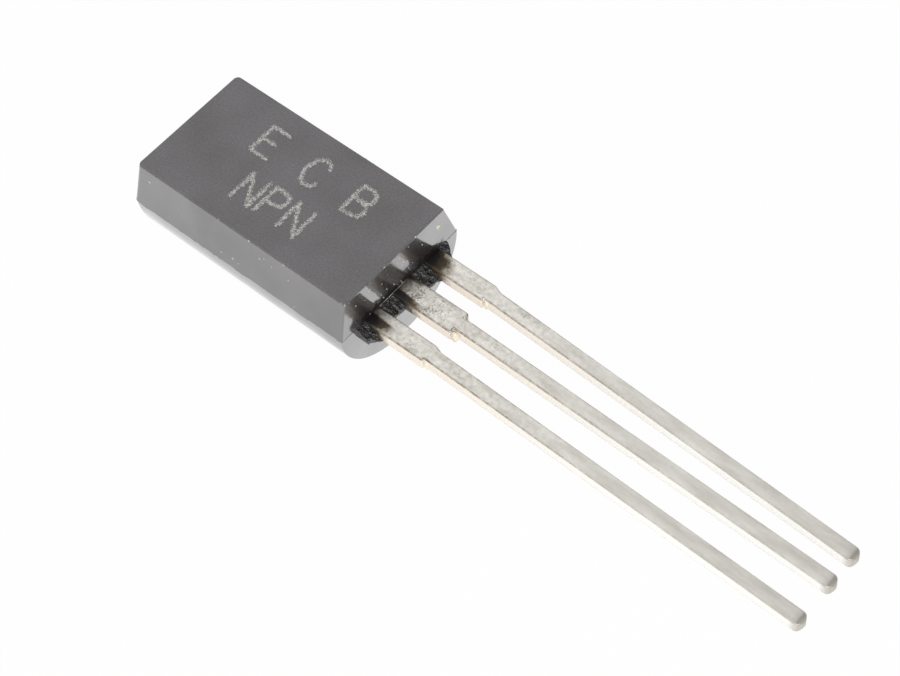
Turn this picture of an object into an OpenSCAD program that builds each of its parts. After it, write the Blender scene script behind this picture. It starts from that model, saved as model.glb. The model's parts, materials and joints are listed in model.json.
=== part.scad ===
// Through-hole power transistor in a long moulded package, in millimetres.
// It lies on its round back: the flat face looks up (+Z) and the leads run along +X.

/* [Moulded body] */
// Width across the parting line
body_w = 4.9; // [4.4:0.05:5.6]
// Length from the top end to the lead end
body_len = 8.1; // [7.2:0.1:9.5]
// Depth of the front half, from the parting plane to the flat face
front_depth = 1.33; // [1.1:0.01:1.7]
// Draft of the long sides of the front half, in degrees
side_draft = 14.7; // [8:0.1:20]
// Draft of the two end faces, in degrees
end_draft = 2.7; // [0.5:0.1:5]
// Radius of the two corners at the top end
corner_r = 0.1; // [0.06:0.01:0.4]
// Width of the narrow flat along the round back, on which the part rests
back_flat_w = 0.9; // [0.5:0.1:1.4]
// Step along the parting line, where the back half stands out from the front half
part_step = 0.03; // [0.02:0.005:0.08]

/* [Leads] */
// Spacing of the leads, centre to centre
lead_pitch = 1.27; // [1.2:0.01:1.4]
// Sideways shift of the lead frame in the mould
frame_shift = 0.06; // [-0.1:0.01:0.1]
// Thickness of the stamped strip
lead_t = 0.42; // [0.35:0.01:0.5]
// Length of the leads outside the body
lead_len = 14.75; // [8:0.1:18]
// Width of the narrow shank
shank_w = 0.46; // [0.38:0.01:0.54]
// Width of the two outer roots
outer_root_w = 0.63; // [0.58:0.01:0.75]
// Width of the middle root
centre_root_w = 0.8; // [0.6:0.01:0.9]
// Distance from the body to the cut shoulders
shoulder_reach = 2.1; // [1.5:0.1:3]
// Length of the slanted side of the outer shoulders
outer_taper = 0.24; // [0.1:0.01:0.4]
// Length of the slanted side of the middle shoulder
centre_taper = 0.1; // [0.05:0.01:0.3]
// Chamfer at the sheared tips
tip_chamfer = 0.07; // [0.03:0.01:0.15]
// Sideways lean of the emitter shank, in degrees
emitter_lean = -1.2; // [-2:0.1:2]
// Sideways lean of the collector shank, in degrees
collector_lean = -0.9; // [-2:0.1:2]
// Sideways lean of the base shank, in degrees
base_lean = -2.2; // [-3:0.1:2]

/* [Resin flash at the roots] */
// Reach of the flash between the roots
flash_reach = 0.66; // [0.4:0.01:1]
// Width of the flash outside the outer roots
flash_side = 0.33; // [0.15:0.01:0.4]
// How far the flash shrank below the two faces of the strip
flash_sink = 0.02; // [0.01:0.005:0.05]
// Thickness of the flash at its reach, where it breaks off
flash_edge = 0.06; // [0.04:0.01:0.2]

/* [Inside] */
// Length of an outer root from the body end to its bond post
post_start = 1; // [0.7:0.05:1.4]
// Length of a bond post
post_len = 1; // [0.7:0.05:1.3]
// Width of a bond post
post_w = 0.95; // [0.8:0.05:1.1]
// Gap between the bond posts and the die pad
pad_gap = 0.4; // [0.25:0.05:0.6]
// Length of the die pad
pad_len = 2.5; // [2:0.1:3]
// Width of the die pad
pad_w = 2.6; // [2:0.1:3]
// Side of the square chip
die_side = 1.1; // [0.8:0.05:1.4]
// Thickness of the chip
die_t = 0.22; // [0.15:0.01:0.3]
// Thickness of the solder under the chip
solder_t = 0.04; // [0.02:0.01:0.08]
// Border of solder round the chip
solder_border = 0.08; // [0.04:0.01:0.15]
// Diameter of the bond wires
wire_d = 0.05; // [0.04:0.005:0.06]
// Diameter of the bonds at both ends of a wire
bond_d = 0.15; // [0.12:0.01:0.2]
// Height of the bonds
bond_h = 0.07; // [0.06:0.01:0.09]
// Rise of the wire loops above the chip
loop_rise = 0.35; // [0.2:0.05:0.5]

/* [Hidden] */
$fn = 64;

// How far a shape runs on inside the one it joins
lap = 0.3;

top_x = -(body_len + lead_len) / 2;
lead_end_x = top_x + body_len;
back_r = body_w / 2;
part_z = sqrt(back_r * back_r - back_flat_w * back_flat_w / 4);
front_half_w = body_w / 2 - part_step;
front_top_x = top_x + part_step;
front_end_x = lead_end_x - part_step;
side_inset = front_depth * tan(side_draft);
front_inset = front_depth * tan(end_draft);
back_inset = part_z * tan(end_draft);
shank_len = lead_len - shoulder_reach;
pad_start = post_start + post_len + pad_gap;
die_x = -pad_start - pad_len / 2;
die_top = solder_t + die_t;

// The chip's bonds sit a quarter of its side from its centre
die_bond_x = die_x + die_side / 4;
die_bond_y = die_side / 4;
post_x = -post_start - post_len / 2;

// Outward normals of the long side and the end face that meet at a corner of the top end
side_n = [0, -cos(side_draft), sin(side_draft)];
end_n = [-cos(end_draft), 0, sin(end_draft)];
corner_cos = side_n * end_n;
corner_sin = sqrt(1 - corner_cos * corner_cos);
corner_v = (side_n - corner_cos * end_n) / corner_sin;
corner_axis = cross(end_n, corner_v);
corner_at = [front_top_x, -front_half_w, part_z] - corner_r * (side_n + end_n) / (1 + corner_cos);

function mix(a, b, share) = a + (b - a) * share;

// Places what is drawn from the lead end of the body on the parting plane.
module at_lead_end(z = 0) {
    translate([lead_end_x, frame_shift, part_z + z])
        children();
}

// Cuts the edge between a long side and the end face to a true radius along its slope.
module corner_cut() {
    long = front_depth / corner_axis[2] + 2 * corner_r;
    out = 2 * corner_r;
    multmatrix([
        [end_n[0], corner_v[0], corner_axis[0], corner_at[0]],
        [end_n[1], corner_v[1], corner_axis[1], corner_at[1]],
        [end_n[2], corner_v[2], corner_axis[2], corner_at[2]],
        [0, 0, 0, 1]
    ])
        translate([0, 0, -corner_r])
            linear_extrude(long)
                difference() {
                    polygon([
                        [0, 0],
                        [out, 0],
                        [out + out * corner_cos, out * corner_sin],
                        [out * corner_cos, out * corner_sin]
                    ]);
                    circle(corner_r);
                }
}

// Front half of the mould: a flat face with drafted sides and ends.
module front_half() {
    difference() {
        intersection() {
            translate([top_x, 0, part_z])
                rotate([90, 0, 90])
                    linear_extrude(body_len)
                        polygon([
                            [-front_half_w, 0],
                            [front_half_w, 0],
                            [front_half_w - side_inset, front_depth],
                            [-front_half_w + side_inset, front_depth]
                        ]);
            translate([0, body_w / 2, part_z])
                rotate([90, 0, 0])
                    linear_extrude(body_w)
                        polygon([
                            [front_top_x, 0],
                            [front_end_x, 0],
                            [front_end_x - front_inset, front_depth],
                            [front_top_x + front_inset, front_depth]
                        ]);
        }
        corner_cut();
        mirror([0, 1, 0])
            corner_cut();
    }
}

// Radius against length of the round back, with the rim of the top end rounded.
module back_profile() {
    translate([0, top_x + corner_r])
        square([back_r, body_len - corner_r]);
    translate([0, top_x])
        square([back_r - corner_r, body_len]);
    translate([back_r - corner_r, top_x + corner_r])
        circle(corner_r);
}

// Back half of the mould: half a cylinder along X with drafted ends and a narrow flat under it.
module back_half() {
    intersection() {
        translate([0, 0, part_z])
            rotate([0, 90, 0])
                rotate([0, 0, -90])
                    rotate_extrude(angle = 180)
                        back_profile();
        translate([0, body_w / 2, 0])
            rotate([90, 0, 0])
                linear_extrude(body_w)
                    polygon([
                        [top_x + back_inset, 0],
                        [lead_end_x - back_inset, 0],
                        [lead_end_x, part_z],
                        [top_x, part_z]
                    ]);
    }
}

// Resin that leaked between the roots: it slopes down to a broken outer edge. It is one wedge
// through which the leads are cut.
module root_flash() {
    outer = lead_pitch + outer_root_w / 2;
    inner = lead_pitch - outer_root_w / 2;
    centre = centre_root_w / 2;
    side = outer + flash_side;
    full = lead_t - 2 * flash_sink;
    at_lead_end(-lead_t + flash_sink)
        intersection() {
            linear_extrude(lead_t)
                polygon([
                    [-lap, -side],
                    [flash_reach * 0.6, -side],
                    [flash_reach * 0.75, -mix(side, outer, 0.5)],
                    [flash_reach, -outer],
                    [flash_reach * 0.85, -inner],
                    [flash_reach * 0.8, -mix(inner, centre, 0.5)],
                    [flash_reach * 0.85, -centre],
                    [flash_reach * 0.75, centre],
                    [flash_reach * 0.85, mix(inner, centre, 0.5)],
                    [flash_reach * 0.95, inner],
                    [flash_reach, outer],
                    [flash_reach * 0.75, mix(side, outer, 0.5)],
                    [flash_reach * 0.35, side],
                    [-lap, side]
                ]);
            translate([0, body_w / 2, 0])
                rotate([90, 0, 0])
                    linear_extrude(body_w)
                        polygon([
                            [-2 * lap, -lap],
                            [2 * flash_reach, -lap],
                            [2 * flash_reach, 2 * flash_edge - full],
                            [0, full],
                            [-2 * lap, full]
                        ]);
        }
}

// Narrow part of a lead from its shoulder to the sheared tip.
module shank_outline(lean) {
    half = shank_w / 2;
    translate([shoulder_reach, 0])
        rotate(lean)
            polygon([
                [-lap, -half],
                [shank_len - tip_chamfer, -half],
                [shank_len, -half + tip_chamfer],
                [shank_len, half - tip_chamfer],
                [shank_len - tip_chamfer, half],
                [-lap, half]
            ]);
}

// Wide part of a lead: one shoulder is cut square, the other runs down to the shank.
module root_outline(root_w, inner_len, taper) {
    slope_end = shoulder_reach + taper * root_w / (root_w - shank_w);
    polygon([
        [-inner_len, -root_w / 2],
        [shoulder_reach, -root_w / 2],
        [shoulder_reach, 0],
        [slope_end, 0],
        [shoulder_reach, root_w / 2],
        [-inner_len, root_w / 2]
    ]);
}

// Stamped outer lead with its bond post inside the body; side is -1 or 1.
module outer_lead(side, lean) {
    at_lead_end(-lead_t)
        linear_extrude(lead_t)
            translate([0, side * lead_pitch]) {
                shank_outline(lean);
                root_outline(outer_root_w, post_start + lap, outer_taper);
                translate([-post_start - post_len, -post_w / 2])
                    square([post_len, post_w]);
            }
}

// Gold wire from the chip to a post: a loop in one upright plane between two flat bonds.
module bond_wire(side) {
    run = [post_x - die_bond_x, side * (lead_pitch - die_bond_y)];
    span = norm(run);
    top = die_top + loop_rise;
    s = (span * sqrt(top) - sqrt(loop_rise * (span * span + die_top * die_top))) / die_top;
    arc_z = (top - s * s) / 2;
    arc_r = top - arc_z;
    arc_u = span - s * sqrt(top);
    from = atan2(-arc_z, span - arc_u);
    to = atan2(die_top - arc_z, -arc_u);
    at_lead_end(bond_h / 2)
        translate([die_bond_x, side * die_bond_y, 0])
            rotate([0, 0, atan2(run[1], run[0])])
                translate([arc_u, 0, arc_z])
                    rotate([90, 0, 0])
                        rotate([0, 0, from])
                            rotate_extrude(angle = to - from)
                                translate([arc_r, 0])
                                    circle(d = wire_d);
    at_lead_end(die_top)
        translate([die_bond_x, side * die_bond_y, 0])
            cylinder(h = bond_h, d = bond_d);
    at_lead_end()
        translate([post_x, side * lead_pitch, 0])
            cylinder(h = bond_h, d = bond_d);
}

module emitter_lead() {
    color([0.78, 0.77, 0.73])
        outer_lead(-1, emitter_lean);
}

module base_lead() {
    color([0.78, 0.77, 0.73])
        outer_lead(1, base_lean);
}

// The middle stamping carries the die pad.
module collector_lead() {
    color([0.78, 0.77, 0.73])
        at_lead_end(-lead_t)
            linear_extrude(lead_t) {
                shank_outline(collector_lean);
                root_outline(centre_root_w, pad_start + lap, centre_taper);
                translate([-pad_start - pad_len, -pad_w / 2])
                    square([pad_len, pad_w]);
            }
}

module die_solder() {
    wide = die_side + 2 * solder_border;
    color([0.6, 0.61, 0.63])
        at_lead_end()
            translate([die_x - wide / 2, -wide / 2, 0])
                cube([wide, wide, solder_t]);
}

module transistor_die() {
    color([0.3, 0.31, 0.36])
        at_lead_end(solder_t)
            translate([die_x - die_side / 2, -die_side / 2, 0])
                cube([die_side, die_side, die_t]);
}

module emitter_bond_wire() {
    color([0.85, 0.66, 0.25])
        bond_wire(-1);
}

module base_bond_wire() {
    color([0.85, 0.66, 0.25])
        bond_wire(1);
}

// One moulding: both halves and the flash, cast round all that is inside.
module moulded_body() {
    color([0.2, 0.2, 0.21])
        difference() {
            union() {
                front_half();
                back_half();
                root_flash();
            }
            emitter_lead();
            collector_lead();
            base_lead();
            die_solder();
            transistor_die();
            emitter_bond_wire();
            base_bond_wire();
        }
}

moulded_body();
emitter_lead();
collector_lead();
base_lead();
transistor_die();
die_solder();
emitter_bond_wire();
base_bond_wire();
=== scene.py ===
# %% [markdown]
# # A power transistor in a long moulded package
# The object is a block of dark grey epoxy, about 5 by 8 mm, with three tin-plated leads. It lies on
# its round back with the flat face up. The solids come from the CAD frame. This notebook gives them
# their surfaces: dull and glossy epoxy, broken resin flash, stained tin plate and a laser mark.

# %% Load the frame
import json
import math

import bmesh
import bpy
from mathutils import Matrix, Vector, noise

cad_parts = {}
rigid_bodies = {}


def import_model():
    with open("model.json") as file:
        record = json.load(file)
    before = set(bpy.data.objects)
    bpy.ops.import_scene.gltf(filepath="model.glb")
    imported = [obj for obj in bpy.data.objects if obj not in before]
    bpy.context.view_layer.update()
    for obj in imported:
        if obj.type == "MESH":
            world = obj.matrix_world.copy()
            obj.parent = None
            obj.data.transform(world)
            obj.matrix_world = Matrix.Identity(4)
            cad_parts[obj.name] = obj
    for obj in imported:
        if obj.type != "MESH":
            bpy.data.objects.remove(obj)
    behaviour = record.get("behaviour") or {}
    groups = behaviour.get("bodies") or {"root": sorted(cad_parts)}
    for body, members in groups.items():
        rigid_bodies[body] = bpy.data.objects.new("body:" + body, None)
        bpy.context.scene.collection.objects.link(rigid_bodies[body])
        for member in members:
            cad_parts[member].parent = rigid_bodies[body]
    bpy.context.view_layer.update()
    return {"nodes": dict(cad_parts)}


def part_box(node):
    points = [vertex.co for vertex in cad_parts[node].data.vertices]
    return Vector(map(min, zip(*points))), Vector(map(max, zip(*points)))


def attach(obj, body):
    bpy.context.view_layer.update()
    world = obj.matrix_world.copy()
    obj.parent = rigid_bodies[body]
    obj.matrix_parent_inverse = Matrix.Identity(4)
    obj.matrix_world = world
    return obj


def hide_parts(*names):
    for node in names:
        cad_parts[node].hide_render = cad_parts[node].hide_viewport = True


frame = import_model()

# %% [markdown]
# ## Sizes
# Blender works in metres, and a millimetre is the natural unit here. Every length below is in
# millimetres and `MM` turns it into metres when a mesh is made. The places come from the boxes of
# the CAD nodes, so the pieces sit where the solids are. The parting plane, where the two halves
# of the mould met, is level with the top of the leads.

# %% Sizes from the frame
MM = 0.001
BODY_LEN = 8.1

body_low, body_high = (Vector(corner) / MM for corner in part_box("moulded_body"))
lead_low, lead_high = (Vector(corner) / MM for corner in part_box("emitter_lead"))
top_x = body_low.x
lead_end_x = top_x + BODY_LEN
back_r = body_high.y
front_z = body_high.z
part_z = lead_high.z
lead_t = part_z - lead_low.z
print(f"lead end x {lead_end_x:.3f}, parting plane z {part_z:.3f}, flat face z {front_z:.3f} mm")

# %% [markdown]
# ## Camera
# The photograph looks down on the part from the lead side. A camera could be turned by eye until
# the picture fits. The straight edges of the body give the direction, the distance and the lens
# more exactly, so the camera is placed by those numbers. The small roll is the camera's own tilt.

# %% Camera
IMAGE_W = 900
FOCAL_PX = 2249.2
SENSOR_W = 36
AZIMUTH = math.radians(45.376)
ELEVATION = math.radians(56.093)
ROLL = math.radians(6)
CAMERA_DIST = 61.6
AIM_PAST_END = 2.227
AIM_Y = -0.483

aim = Vector((lead_end_x + AIM_PAST_END, AIM_Y, part_z))
back = Vector((
    math.sin(AZIMUTH) * math.cos(ELEVATION),
    -math.cos(AZIMUTH) * math.cos(ELEVATION),
    math.sin(ELEVATION),
))
sideways = Vector((math.cos(AZIMUTH), math.sin(AZIMUTH), 0))
upright = back.cross(sideways)
right = math.cos(ROLL) * sideways - math.sin(ROLL) * upright
up = math.sin(ROLL) * sideways + math.cos(ROLL) * upright

camera = bpy.data.objects.new("camera", bpy.data.cameras.new("camera"))
bpy.context.scene.collection.objects.link(camera)
place = Matrix((right, up, back)).transposed().to_4x4()
place.translation = (aim + back * CAMERA_DIST) * MM
camera.matrix_world = place
camera.data.sensor_width = SENSOR_W
camera.data.sensor_fit = "HORIZONTAL"
camera.data.lens = FOCAL_PX * SENSOR_W / IMAGE_W
camera.data.clip_start = 1 * MM
bpy.context.scene.camera = camera
bpy.context.scene.view_settings.view_transform = "Standard"
print(f"camera {CAMERA_DIST} mm away, lens {camera.data.lens:.1f} mm")

# %% [markdown]
# ## Nodes in one small function
# A material is a graph of nodes. `add` makes one node, sets its properties, and fills its inputs:
# a node is linked by its first output, an output socket is linked as it is, and anything else is
# set as a value. `srgb` turns a colour as a paint program writes it into the linear numbers that a
# shader needs. `object_mm` gives the place on a piece in millimetres, so that every pattern can be
# scaled by its real size.


# %% Helpers for node trees
def srgb(code):
    parts = [int(code[i:i + 2], 16) / 255 for i in (1, 3, 5)]
    linear = [p / 12.92 if p <= 0.04045 else ((p + 0.055) / 1.055) ** 2.4 for p in parts]
    return (*linear, 1)


def add(tree, kind, inputs=None, **settings):
    node = tree.nodes.new(kind)
    for name, value in settings.items():
        setattr(node, name, value)
    for socket, value in (inputs or {}).items():
        if isinstance(value, bpy.types.Node):
            value = value.outputs[0]
        if isinstance(value, bpy.types.NodeSocket):
            tree.links.new(value, node.inputs[socket])
        else:
            node.inputs[socket].default_value = value
    return node


def new_material(name):
    material = bpy.data.materials.new(name)
    material.use_nodes = True
    material.node_tree.nodes.clear()
    return material, material.node_tree


def object_mm(tree, centre=(0, 0, 0)):
    where = add(tree, "ShaderNodeTexCoord")
    return add(tree, "ShaderNodeMapping", {
        "Vector": where.outputs["Object"], "Scale": (1 / MM,) * 3, "Location": [-c for c in centre],
    })


def new_piece(name, mesh, material=None):
    piece = bpy.data.objects.new(name, mesh)
    bpy.context.scene.collection.objects.link(piece)
    if material:
        mesh.materials.append(material)
    return piece


print("grey #808080 is", round(srgb("#808080")[0], 3), "in linear light")

# %% [markdown]
# ## Floor and light
# Product photographs of small parts are taken on a white sheet under large soft lamps. One lamp
# stands on the lead side and one in front, and the world fills in. It is darker above the far side
# of the leads and brighter above the top end. More lamps could do that, but a world that changes
# smoothly with direction leaves no hard edges in the gloss. The floor answers camera and mirror
# rays mostly with plain white, and keeps some of its lit surface, so the part casts a soft shadow.

# %% Floor
# Matte paper gives the eye an even white without gloss. Only the shadow shows where it lies.
FLOOR_SIZE = 900
PLAIN_SHARE = 0.97

paper, tree = new_material("white paper sheet")
rays = add(tree, "ShaderNodeLightPath").outputs
seen = add(tree, "ShaderNodeMath", {0: rays["Is Camera Ray"], 1: rays["Is Glossy Ray"]}, operation="MAXIMUM")
share = add(tree, "ShaderNodeMath", {0: seen, 1: PLAIN_SHARE}, operation="MULTIPLY")
lit = add(tree, "ShaderNodeBsdfDiffuse", {"Color": srgb("#f4f4f4")})
plain = add(tree, "ShaderNodeEmission", {"Color": (1, 1, 1, 1), "Strength": 1.0})
both = add(tree, "ShaderNodeMixShader", {0: share, 1: lit, 2: plain})
add(tree, "ShaderNodeOutputMaterial", {"Surface": both})

half = FLOOR_SIZE * MM / 2
mesh = bpy.data.meshes.new("floor")
mesh.from_pydata([(-half, -half, 0), (half, -half, 0), (half, half, 0), (-half, half, 0)], [], [(0, 1, 2, 3)])
floor = new_piece("floor", mesh, paper)
print("white floor", FLOOR_SIZE, "mm wide")

# %% World
DARK_SIDE = Vector((0.55, 0.42, 0.72)).normalized()
BRIGHT_SIDE = Vector((-0.33, 0.40, 0.855)).normalized()

world = bpy.data.worlds.new("studio")
bpy.context.scene.world = world
world.use_nodes = True
tree = world.node_tree
tree.nodes.clear()
rays = add(tree, "ShaderNodeLightPath").outputs
view = add(tree, "ShaderNodeTexCoord").outputs["Generated"]
to_dark = add(tree, "ShaderNodeVectorMath", {0: view, 1: DARK_SIDE}, operation="DOT_PRODUCT")
to_bright = add(tree, "ShaderNodeVectorMath", {0: view, 1: BRIGHT_SIDE}, operation="DOT_PRODUCT")
shade = add(tree, "ShaderNodeMapRange", {0: to_dark.outputs["Value"], 1: 0.72, 2: 0.89, 3: 1.0, 4: 0.05},
            interpolation_type="SMOOTHSTEP")
sky = add(tree, "ShaderNodeMapRange", {0: to_bright.outputs["Value"], 1: 0.65, 2: 0.95, 3: 0.62, 4: 0.9},
          interpolation_type="SMOOTHSTEP")
glow = add(tree, "ShaderNodeMath", {0: shade, 1: sky}, operation="MULTIPLY")
fill = add(tree, "ShaderNodeBackground", {"Color": (1, 1, 1, 1), "Strength": glow})
white = add(tree, "ShaderNodeBackground", {"Color": (1, 1, 1, 1), "Strength": 1.0})
both = add(tree, "ShaderNodeMixShader", {0: rays["Is Camera Ray"], 1: fill, 2: white})
add(tree, "ShaderNodeOutputWorld", {"Surface": both})
print("world darkest towards", tuple(round(v, 2) for v in DARK_SIDE))

# %% Lamps
LAMP_SIZE = 260
LAMP_WATTS = 0.3


def soft_lamp(name, at):
    lamp = bpy.data.objects.new(name, bpy.data.lights.new(name, "AREA"))
    lamp.data.shape = "DISK"
    lamp.data.size = LAMP_SIZE * MM
    lamp.data.energy = LAMP_WATTS
    lamp.location = Vector(at) * MM
    lamp.rotation_euler = Vector(at).to_track_quat("Z", "Y").to_euler()
    bpy.context.scene.collection.objects.link(lamp)


soft_lamp("key lamp", (220, -60, 150))
soft_lamp("front lamp", (130, -210, 130))
print("two soft lamps,", LAMP_SIZE, "mm across")

# %% [markdown]
# ## Moulded epoxy
# Transistor bodies are transfer moulded from epoxy filled with ground silica. Spark erosion made
# the mould rough under the flat face, so the flat is dry and dull with a fine grain. The side walls
# are satin, and the lead end and the back are glossy from a thin clear skin of resin. Three
# materials could give that, but it is one resin, so one material reads from the mesh how much a
# face belongs to the flat or to the glossy end. The coat layer is the skin. The grain on the real
# part is near 0.02 mm, under a pixel, so it is drawn at 0.06 mm.

# %% Epoxy material: base and grain
# The dull flat gives the eye a plain dark grey with a faint grain. The walls and the lead end
# mirror the white sheet, so they look paler although the resin is the same.
GRAIN = 0.06
MOTTLE = 1.6
FRAME_SHIFT = 0.06    # the row of leads sits this far off the middle of the body

epoxy, tree = new_material("black moulded epoxy, spark eroded finish")
in_mm = object_mm(tree, (lead_end_x, FRAME_SHIFT, part_z))
axes = add(tree, "ShaderNodeSeparateXYZ", {0: in_mm}).outputs
mottle = add(tree, "ShaderNodeTexNoise", {"Vector": in_mm, "Scale": 1 / MOTTLE, "Detail": 5})
grain = add(tree, "ShaderNodeTexNoise", {"Vector": in_mm, "Scale": 1 / GRAIN, "Detail": 2})
cloud = add(tree, "ShaderNodeMapRange", {0: mottle, 1: 0.3, 2: 0.7})
tone = add(tree, "ShaderNodeMix", {0: cloud, 6: srgb("#363134"), 7: srgb("#3b3539")},
           data_type="RGBA").outputs[2]
fine = add(tree, "ShaderNodeMapRange", {0: grain, 1: 0.3, 2: 0.7, 3: 0.84, 4: 1.16})
tint = add(tree, "ShaderNodeMix", {0: 1, 6: tone, 7: fine},
           data_type="RGBA", blend_type="MULTIPLY").outputs[2]
print("epoxy grain", GRAIN, "mm, mottle", MOTTLE, "mm")

# %% [markdown]
# ## Smear and painted shade on the lead end
# Grease and burnt resin gather where the leads leave the body. The smear is thick and ragged along
# the parting line. Above it, painted shade in slanting bands darkens and dulls the skin over the
# mirror image of the leads, and leaves two clean strips, where the end still mirrors the white
# sheet. A ragged darker, duller band also runs just under the parting line. Loose flakes could be
# modelled, but the smear has no thickness, so it is a mask in the material: a curve over the width
# gives the bands, and one noise frays every edge.

# %% Epoxy material: smear along the parting line
FRAY_SIZE = 0.22
SMEAR_HALF_W = 1.75

end_share = add(tree, "ShaderNodeAttribute", attribute_name="end").outputs["Fac"]
fray_noise = add(tree, "ShaderNodeTexNoise", {"Vector": in_mm, "Scale": 1 / FRAY_SIZE, "Detail": 4})
ragged = add(tree, "ShaderNodeMath", {0: fray_noise, 1: 0.7, 2: -0.1}, operation="MULTIPLY_ADD")
under = add(tree, "ShaderNodeMath", {0: ragged, 1: axes["Z"]}, operation="SUBTRACT")
low = add(tree, "ShaderNodeMapRange", {0: under, 1: -0.04, 2: 0.08})
above = add(tree, "ShaderNodeMapRange", {0: axes["Z"], 1: -0.03, 2: 0.0})
off = add(tree, "ShaderNodeMath", {0: axes["Y"]}, operation="ABSOLUTE")
between = add(tree, "ShaderNodeMapRange", {0: off, 1: SMEAR_HALF_W + 0.1, 2: SMEAR_HALF_W - 0.1})
patch = add(tree, "ShaderNodeMath", {0: low, 1: above}, operation="MULTIPLY")
patch = add(tree, "ShaderNodeMath", {0: patch, 1: end_share}, operation="MULTIPLY")
patch = add(tree, "ShaderNodeMath", {0: patch, 1: between}, operation="MULTIPLY")
print("smear over", 2 * SMEAR_HALF_W, "mm of the parting line")

# %% Epoxy material: painted shade in bands, and a darker band under the line
WAVE = 0.12
SLANT = 0.43
UNDER_LINE_DARKENING = 0.5
SHADE_FROM, SHADE_TO = -2.5, 2.0
# Painted shade: how strongly each slanting band darkens the lead end, across its width.
SHADE_BANDS = [
    (-1.8, 0.0), (-1.7, 0.55), (-1.13, 0.5), (-1.08, 0.0), (-0.76, 0.0), (-0.71, 0.6), (-0.4, 0.5),
    (0.3, 0.3), (0.36, 0.08), (0.69, 0.08), (0.74, 0.6), (1.0, 0.5), (1.33, 0.45), (1.42, 0.0),
]


def set_stops(ramp, stops):
    elements = ramp.color_ramp.elements
    while len(elements) < len(stops):
        elements.new(1.0)
    for element, (position, value) in zip(elements, stops):
        element.position = position
        element.color = (value, value, value, 1)


slant = add(tree, "ShaderNodeMath", {0: axes["Z"], 1: SLANT, 2: axes["Y"]}, operation="MULTIPLY_ADD")
wavy = add(tree, "ShaderNodeMath", {0: fray_noise, 1: WAVE, 2: slant}, operation="MULTIPLY_ADD")
across = add(tree, "ShaderNodeMapRange", {0: wavy, 1: SHADE_FROM + WAVE / 2, 2: SHADE_TO + WAVE / 2})
shade_bands = add(tree, "ShaderNodeValToRGB", {0: across})
set_stops(shade_bands, [((s - SHADE_FROM) / (SHADE_TO - SHADE_FROM), strength) for s, strength in SHADE_BANDS])
# The painted shade lies only on the lead end above the parting line, over the mirror image of the leads.
painted_shade_film = add(tree, "ShaderNodeMath", {0: shade_bands, 1: end_share}, operation="MULTIPLY")
painted_shade_film = add(tree, "ShaderNodeMath", {0: painted_shade_film, 1: above}, operation="MULTIPLY")

# A ragged darker, duller band runs just under the parting line, all around the body.
frayed = add(tree, "ShaderNodeMath", {0: fray_noise, 1: 0.3, 2: axes["Z"]}, operation="MULTIPLY_ADD")
below = add(tree, "ShaderNodeMapRange", {0: axes["Z"], 1: 0.0, 2: -0.002})
under_line_band = add(tree, "ShaderNodeMapRange", {0: frayed, 1: 0.12, 2: 0.14, 3: 0.0, 4: UNDER_LINE_DARKENING})
under_line_band = add(tree, "ShaderNodeMath", {0: under_line_band, 1: below}, operation="MULTIPLY")
# One mask holds the real smear, the painted shade bands and the darker band under the line.
smear_and_painted_shade = add(tree, "ShaderNodeMath", {0: patch, 1: painted_shade_film}, operation="MAXIMUM")
smear_and_painted_shade = add(tree, "ShaderNodeMath", {0: smear_and_painted_shade, 1: under_line_band}, operation="MAXIMUM")
print("film on the lead end in", len(SHADE_BANDS), "steps")

# %% [markdown]
# ## Dull, satin and glossy
# Plain epoxy has an IOR near 1.55. The sheet in the photograph is probably brighter than the white
# it is shown as, so its mirror image is brighter than a plain white floor can give. More light
# would burn out the leads. So the IOR of the walls and the glossy faces is raised until that
# image is as bright as in the photograph. The dull flat, the smear and the painted shade stay near
# the real value.

# %% Epoxy material: gloss
FLAT_LIFT = (3.5, 4.05, 3.7, 1)
FLAT_IOR, WALL_IOR, GLOSS_IOR, SMEAR_AND_SHADE_IOR = 1.5, 2.1, 2.75, 1.4
DULL = 0.45
THIN_SKIN = 0.1
BACK_GLOSS = 1.3

flat_share = add(tree, "ShaderNodeAttribute", attribute_name="flat").outputs["Fac"]
pale = add(tree, "ShaderNodeMix", {0: 1, 6: tint, 7: FLAT_LIFT},
           data_type="RGBA", blend_type="MULTIPLY").outputs[2]
dry = add(tree, "ShaderNodeMix", {0: flat_share, 6: tint, 7: pale}, data_type="RGBA").outputs[2]
# Under the smear and the painted shade the skin turns near black, rougher and thinly coated.
colour = add(tree, "ShaderNodeMix", {0: smear_and_painted_shade, 6: dry, 7: srgb("#1b1616")}, data_type="RGBA").outputs[2]
rough = add(tree, "ShaderNodeMapRange", {0: grain, 1: 0.3, 2: 0.7, 3: 0.1, 4: 0.18})
matte = add(tree, "ShaderNodeMix", {0: flat_share, 2: rough, 3: DULL})
smear_and_shade_roughness = add(tree, "ShaderNodeMix", {0: smear_and_painted_shade, 2: matte, 3: DULL})
satin = add(tree, "ShaderNodeMapRange", {0: end_share, 3: 0.14, 4: 0.03})
glaze = add(tree, "ShaderNodeMapRange", {0: flat_share, 3: 0.75, 4: THIN_SKIN})
fleck = add(tree, "ShaderNodeMapRange", {0: mottle, 1: 0.35, 2: 0.65, 3: 0.0, 4: 0.25})
clear = add(tree, "ShaderNodeMath", {0: glaze, 1: fleck}, operation="ADD")
covered = add(tree, "ShaderNodeMix", {0: smear_and_painted_shade, 2: clear, 3: THIN_SKIN})
polish = add(tree, "ShaderNodeMapRange", {0: end_share, 1: 0.0, 2: BACK_GLOSS, 3: WALL_IOR, 4: GLOSS_IOR})
dim = add(tree, "ShaderNodeMix", {0: flat_share, 2: polish, 3: FLAT_IOR})
mirror = add(tree, "ShaderNodeMix", {0: smear_and_painted_shade, 2: dim, 3: SMEAR_AND_SHADE_IOR})
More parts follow.
